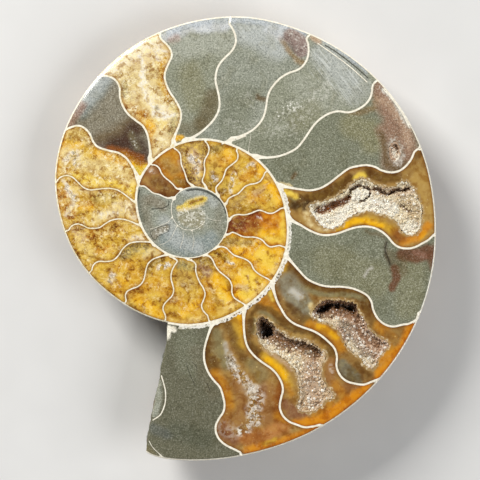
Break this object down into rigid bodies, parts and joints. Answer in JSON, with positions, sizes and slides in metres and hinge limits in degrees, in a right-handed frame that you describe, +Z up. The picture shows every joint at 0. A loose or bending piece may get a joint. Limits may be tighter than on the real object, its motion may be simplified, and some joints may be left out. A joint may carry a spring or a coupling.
{
  "type": "sliced and polished cleoniceras ammonite half",
  "caption": "Half of a coiled fossil ammonite, sawn flat and polished to show its chambers, with crystal-lined hollows and a rounded shell back.",
  "frame": {"origin": "centre of the bounding box on the surface that the fossil lies on", "axes": "+Z up out of the cut face, +Y from the broken mouth towards the top of the coil, +X towards the outer whorl's crystal hollows"},
  "size_m": [0.1142, 0.1332, 0.0189],
  "materials": {
    "fossil_stone": "polished calcite and limestone face, honey, brown and grey-green chambers between cream septa",
    "druse_crystal": "sparkling white to cream calcite crystals"
  },
  "bodies": {
    "root": {"ammonite_half": "fossil_stone", "druse_crust_lower": "druse_crystal", "druse_crust_middle": "druse_crystal", "druse_crust_upper": "druse_crystal", "druse_crust_small": "druse_crystal"}
  },
  "joints": []
}
